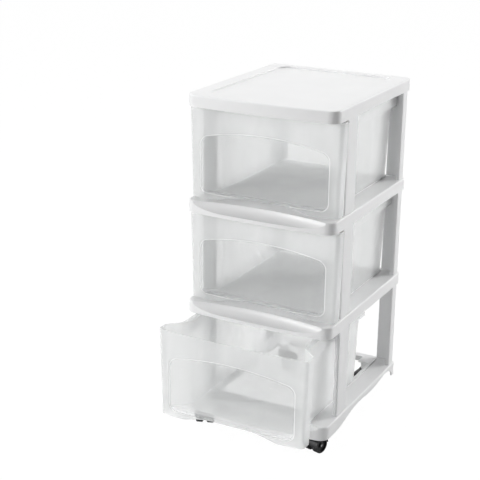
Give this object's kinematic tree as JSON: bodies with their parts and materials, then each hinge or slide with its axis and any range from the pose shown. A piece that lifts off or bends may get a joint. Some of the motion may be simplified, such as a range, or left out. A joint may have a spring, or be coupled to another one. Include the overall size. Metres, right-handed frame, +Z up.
{
  "type": "plastic drawer tower",
  "caption": "White plastic drawer tower on twin-wheel casters, with frosted slide-out drawers between shelves; the bottom drawer stands pulled out.",
  "frame": {"origin": "centre of the bounding box at the floor, with the bottom drawer pulled out as pictured", "axes": "+X to the right seen from the front, -Y the way the drawers pull out, +Z up"},
  "size_m": [0.307, 0.458, 0.661],
  "materials": {
    "white_frame": "satin moulded white",
    "white_post": "satin moulded white",
    "frosted_drawer": "frosted translucent with a polished window",
    "caster_plastic": "moulded black",
    "wheel": "hard black tread",
    "caster_steel": "plated"
  },
  "bodies": {
    "frame": {"base_frame": "white_frame", "lower_shelf": "white_frame", "upper_shelf": "white_frame", "top_cover": "white_frame", "bottom_front_left_post": "white_post", "bottom_front_right_post": "white_post", "bottom_rear_left_post": "white_post", "bottom_rear_right_post": "white_post", "middle_front_left_post": "white_post", "middle_front_right_post": "white_post", "middle_rear_left_post": "white_post", "middle_rear_right_post": "white_post", "top_front_left_post": "white_post", "top_front_right_post": "white_post", "top_rear_left_post": "white_post", "top_rear_right_post": "white_post", "front_left_caster_stem": "caster_steel", "front_right_caster_stem": "caster_steel", "rear_left_caster_stem": "caster_steel", "rear_right_caster_stem": "caster_steel"},
    "bottom_drawer": {"bottom_drawer": "frosted_drawer"},
    "middle_drawer": {"middle_drawer": "frosted_drawer"},
    "top_drawer": {"top_drawer": "frosted_drawer"},
    "front_left_caster": {"front_left_caster_hood": "caster_plastic", "front_left_caster_axle": "caster_steel"},
    "front_left_inner_wheel": {"front_left_caster_inner_wheel": "wheel"},
    "front_left_outer_wheel": {"front_left_caster_outer_wheel": "wheel"},
    "front_right_caster": {"front_right_caster_hood": "caster_plastic", "front_right_caster_axle": "caster_steel"},
    "front_right_inner_wheel": {"front_right_caster_inner_wheel": "wheel"},
    "front_right_outer_wheel": {"front_right_caster_outer_wheel": "wheel"},
    "rear_left_caster": {"rear_left_caster_hood": "caster_plastic", "rear_left_caster_axle": "caster_steel"},
    "rear_left_inner_wheel": {"rear_left_caster_inner_wheel": "wheel"},
    "rear_left_outer_wheel": {"rear_left_caster_outer_wheel": "wheel"},
    "rear_right_caster": {"rear_right_caster_hood": "caster_plastic", "rear_right_caster_axle": "caster_steel"},
    "rear_right_inner_wheel": {"rear_right_caster_inner_wheel": "wheel"},
    "rear_right_outer_wheel": {"rear_right_caster_outer_wheel": "wheel"}
  },
  "joints": [
    {"name": "bottom_drawer_slide", "type": "slide", "parent": "frame", "child": "bottom_drawer", "axis": [0, -1, 0], "range_m": [-0.115, 0.11]},
    {"name": "middle_drawer_slide", "type": "slide", "parent": "frame", "child": "middle_drawer", "axis": [0, -1, 0], "range_m": [0, 0.225]},
    {"name": "top_drawer_slide", "type": "slide", "parent": "frame", "child": "top_drawer", "axis": [0, -1, 0], "range_m": [0, 0.225]},
    {"name": "front_left_swivel", "type": "hinge", "parent": "frame", "child": "front_left_caster", "pos_m": [-0.123, -0.094, 0.044], "axis": [0, 0, 1], "continuous": true},
    {"name": "front_left_inner_wheel_spin", "type": "hinge", "parent": "front_left_caster", "child": "front_left_inner_wheel", "pos_m": [-0.1189, -0.10528, 0.016], "axis": [0.9397, 0.342, 0], "continuous": true},
    {"name": "front_left_outer_wheel_spin", "type": "hinge", "parent": "front_left_caster", "child": "front_left_outer_wheel", "pos_m": [-0.1189, -0.10528, 0.016], "axis": [0.9397, 0.342, 0], "continuous": true},
    {"name": "front_right_swivel", "type": "hinge", "parent": "frame", "child": "front_right_caster", "pos_m": [0.123, -0.094, 0.044], "axis": [0, 0, 1], "continuous": true},
    {"name": "front_right_inner_wheel_spin", "type": "hinge", "parent": "front_right_caster", "child": "front_right_inner_wheel", "pos_m": [0.11989, -0.10559, 0.016], "axis": [0.9659, -0.2588, 0], "continuous": true},
    {"name": "front_right_outer_wheel_spin", "type": "hinge", "parent": "front_right_caster", "child": "front_right_outer_wheel", "pos_m": [0.11989, -0.10559, 0.016], "axis": [0.9659, -0.2588, 0], "continuous": true},
    {"name": "rear_left_swivel", "type": "hinge", "parent": "frame", "child": "rear_left_caster", "pos_m": [-0.095, 0.197, 0.044], "axis": [0, 0, 1], "continuous": true},
    {"name": "rear_left_inner_wheel_spin", "type": "hinge", "parent": "rear_left_caster", "child": "rear_left_inner_wheel", "pos_m": [-0.08372, 0.2011, 0.016], "axis": [-0.342, 0.9397, 0], "continuous": true},
    {"name": "rear_left_outer_wheel_spin", "type": "hinge", "parent": "rear_left_caster", "child": "rear_left_outer_wheel", "pos_m": [-0.08372, 0.2011, 0.016], "axis": [-0.342, 0.9397, 0], "continuous": true},
    {"name": "rear_right_swivel", "type": "hinge", "parent": "frame", "child": "rear_right_caster", "pos_m": [0.095, 0.197, 0.044], "axis": [0, 0, 1], "continuous": true},
    {"name": "rear_right_inner_wheel_spin", "type": "hinge", "parent": "rear_right_caster", "child": "rear_right_inner_wheel", "pos_m": [0.08305, 0.19805, 0.016], "axis": [-0.0872, -0.9962, 0], "continuous": true},
    {"name": "rear_right_outer_wheel_spin", "type": "hinge", "parent": "rear_right_caster", "child": "rear_right_outer_wheel", "pos_m": [0.08305, 0.19805, 0.016], "axis": [-0.0872, -0.9962, 0], "continuous": true}
  ]
}
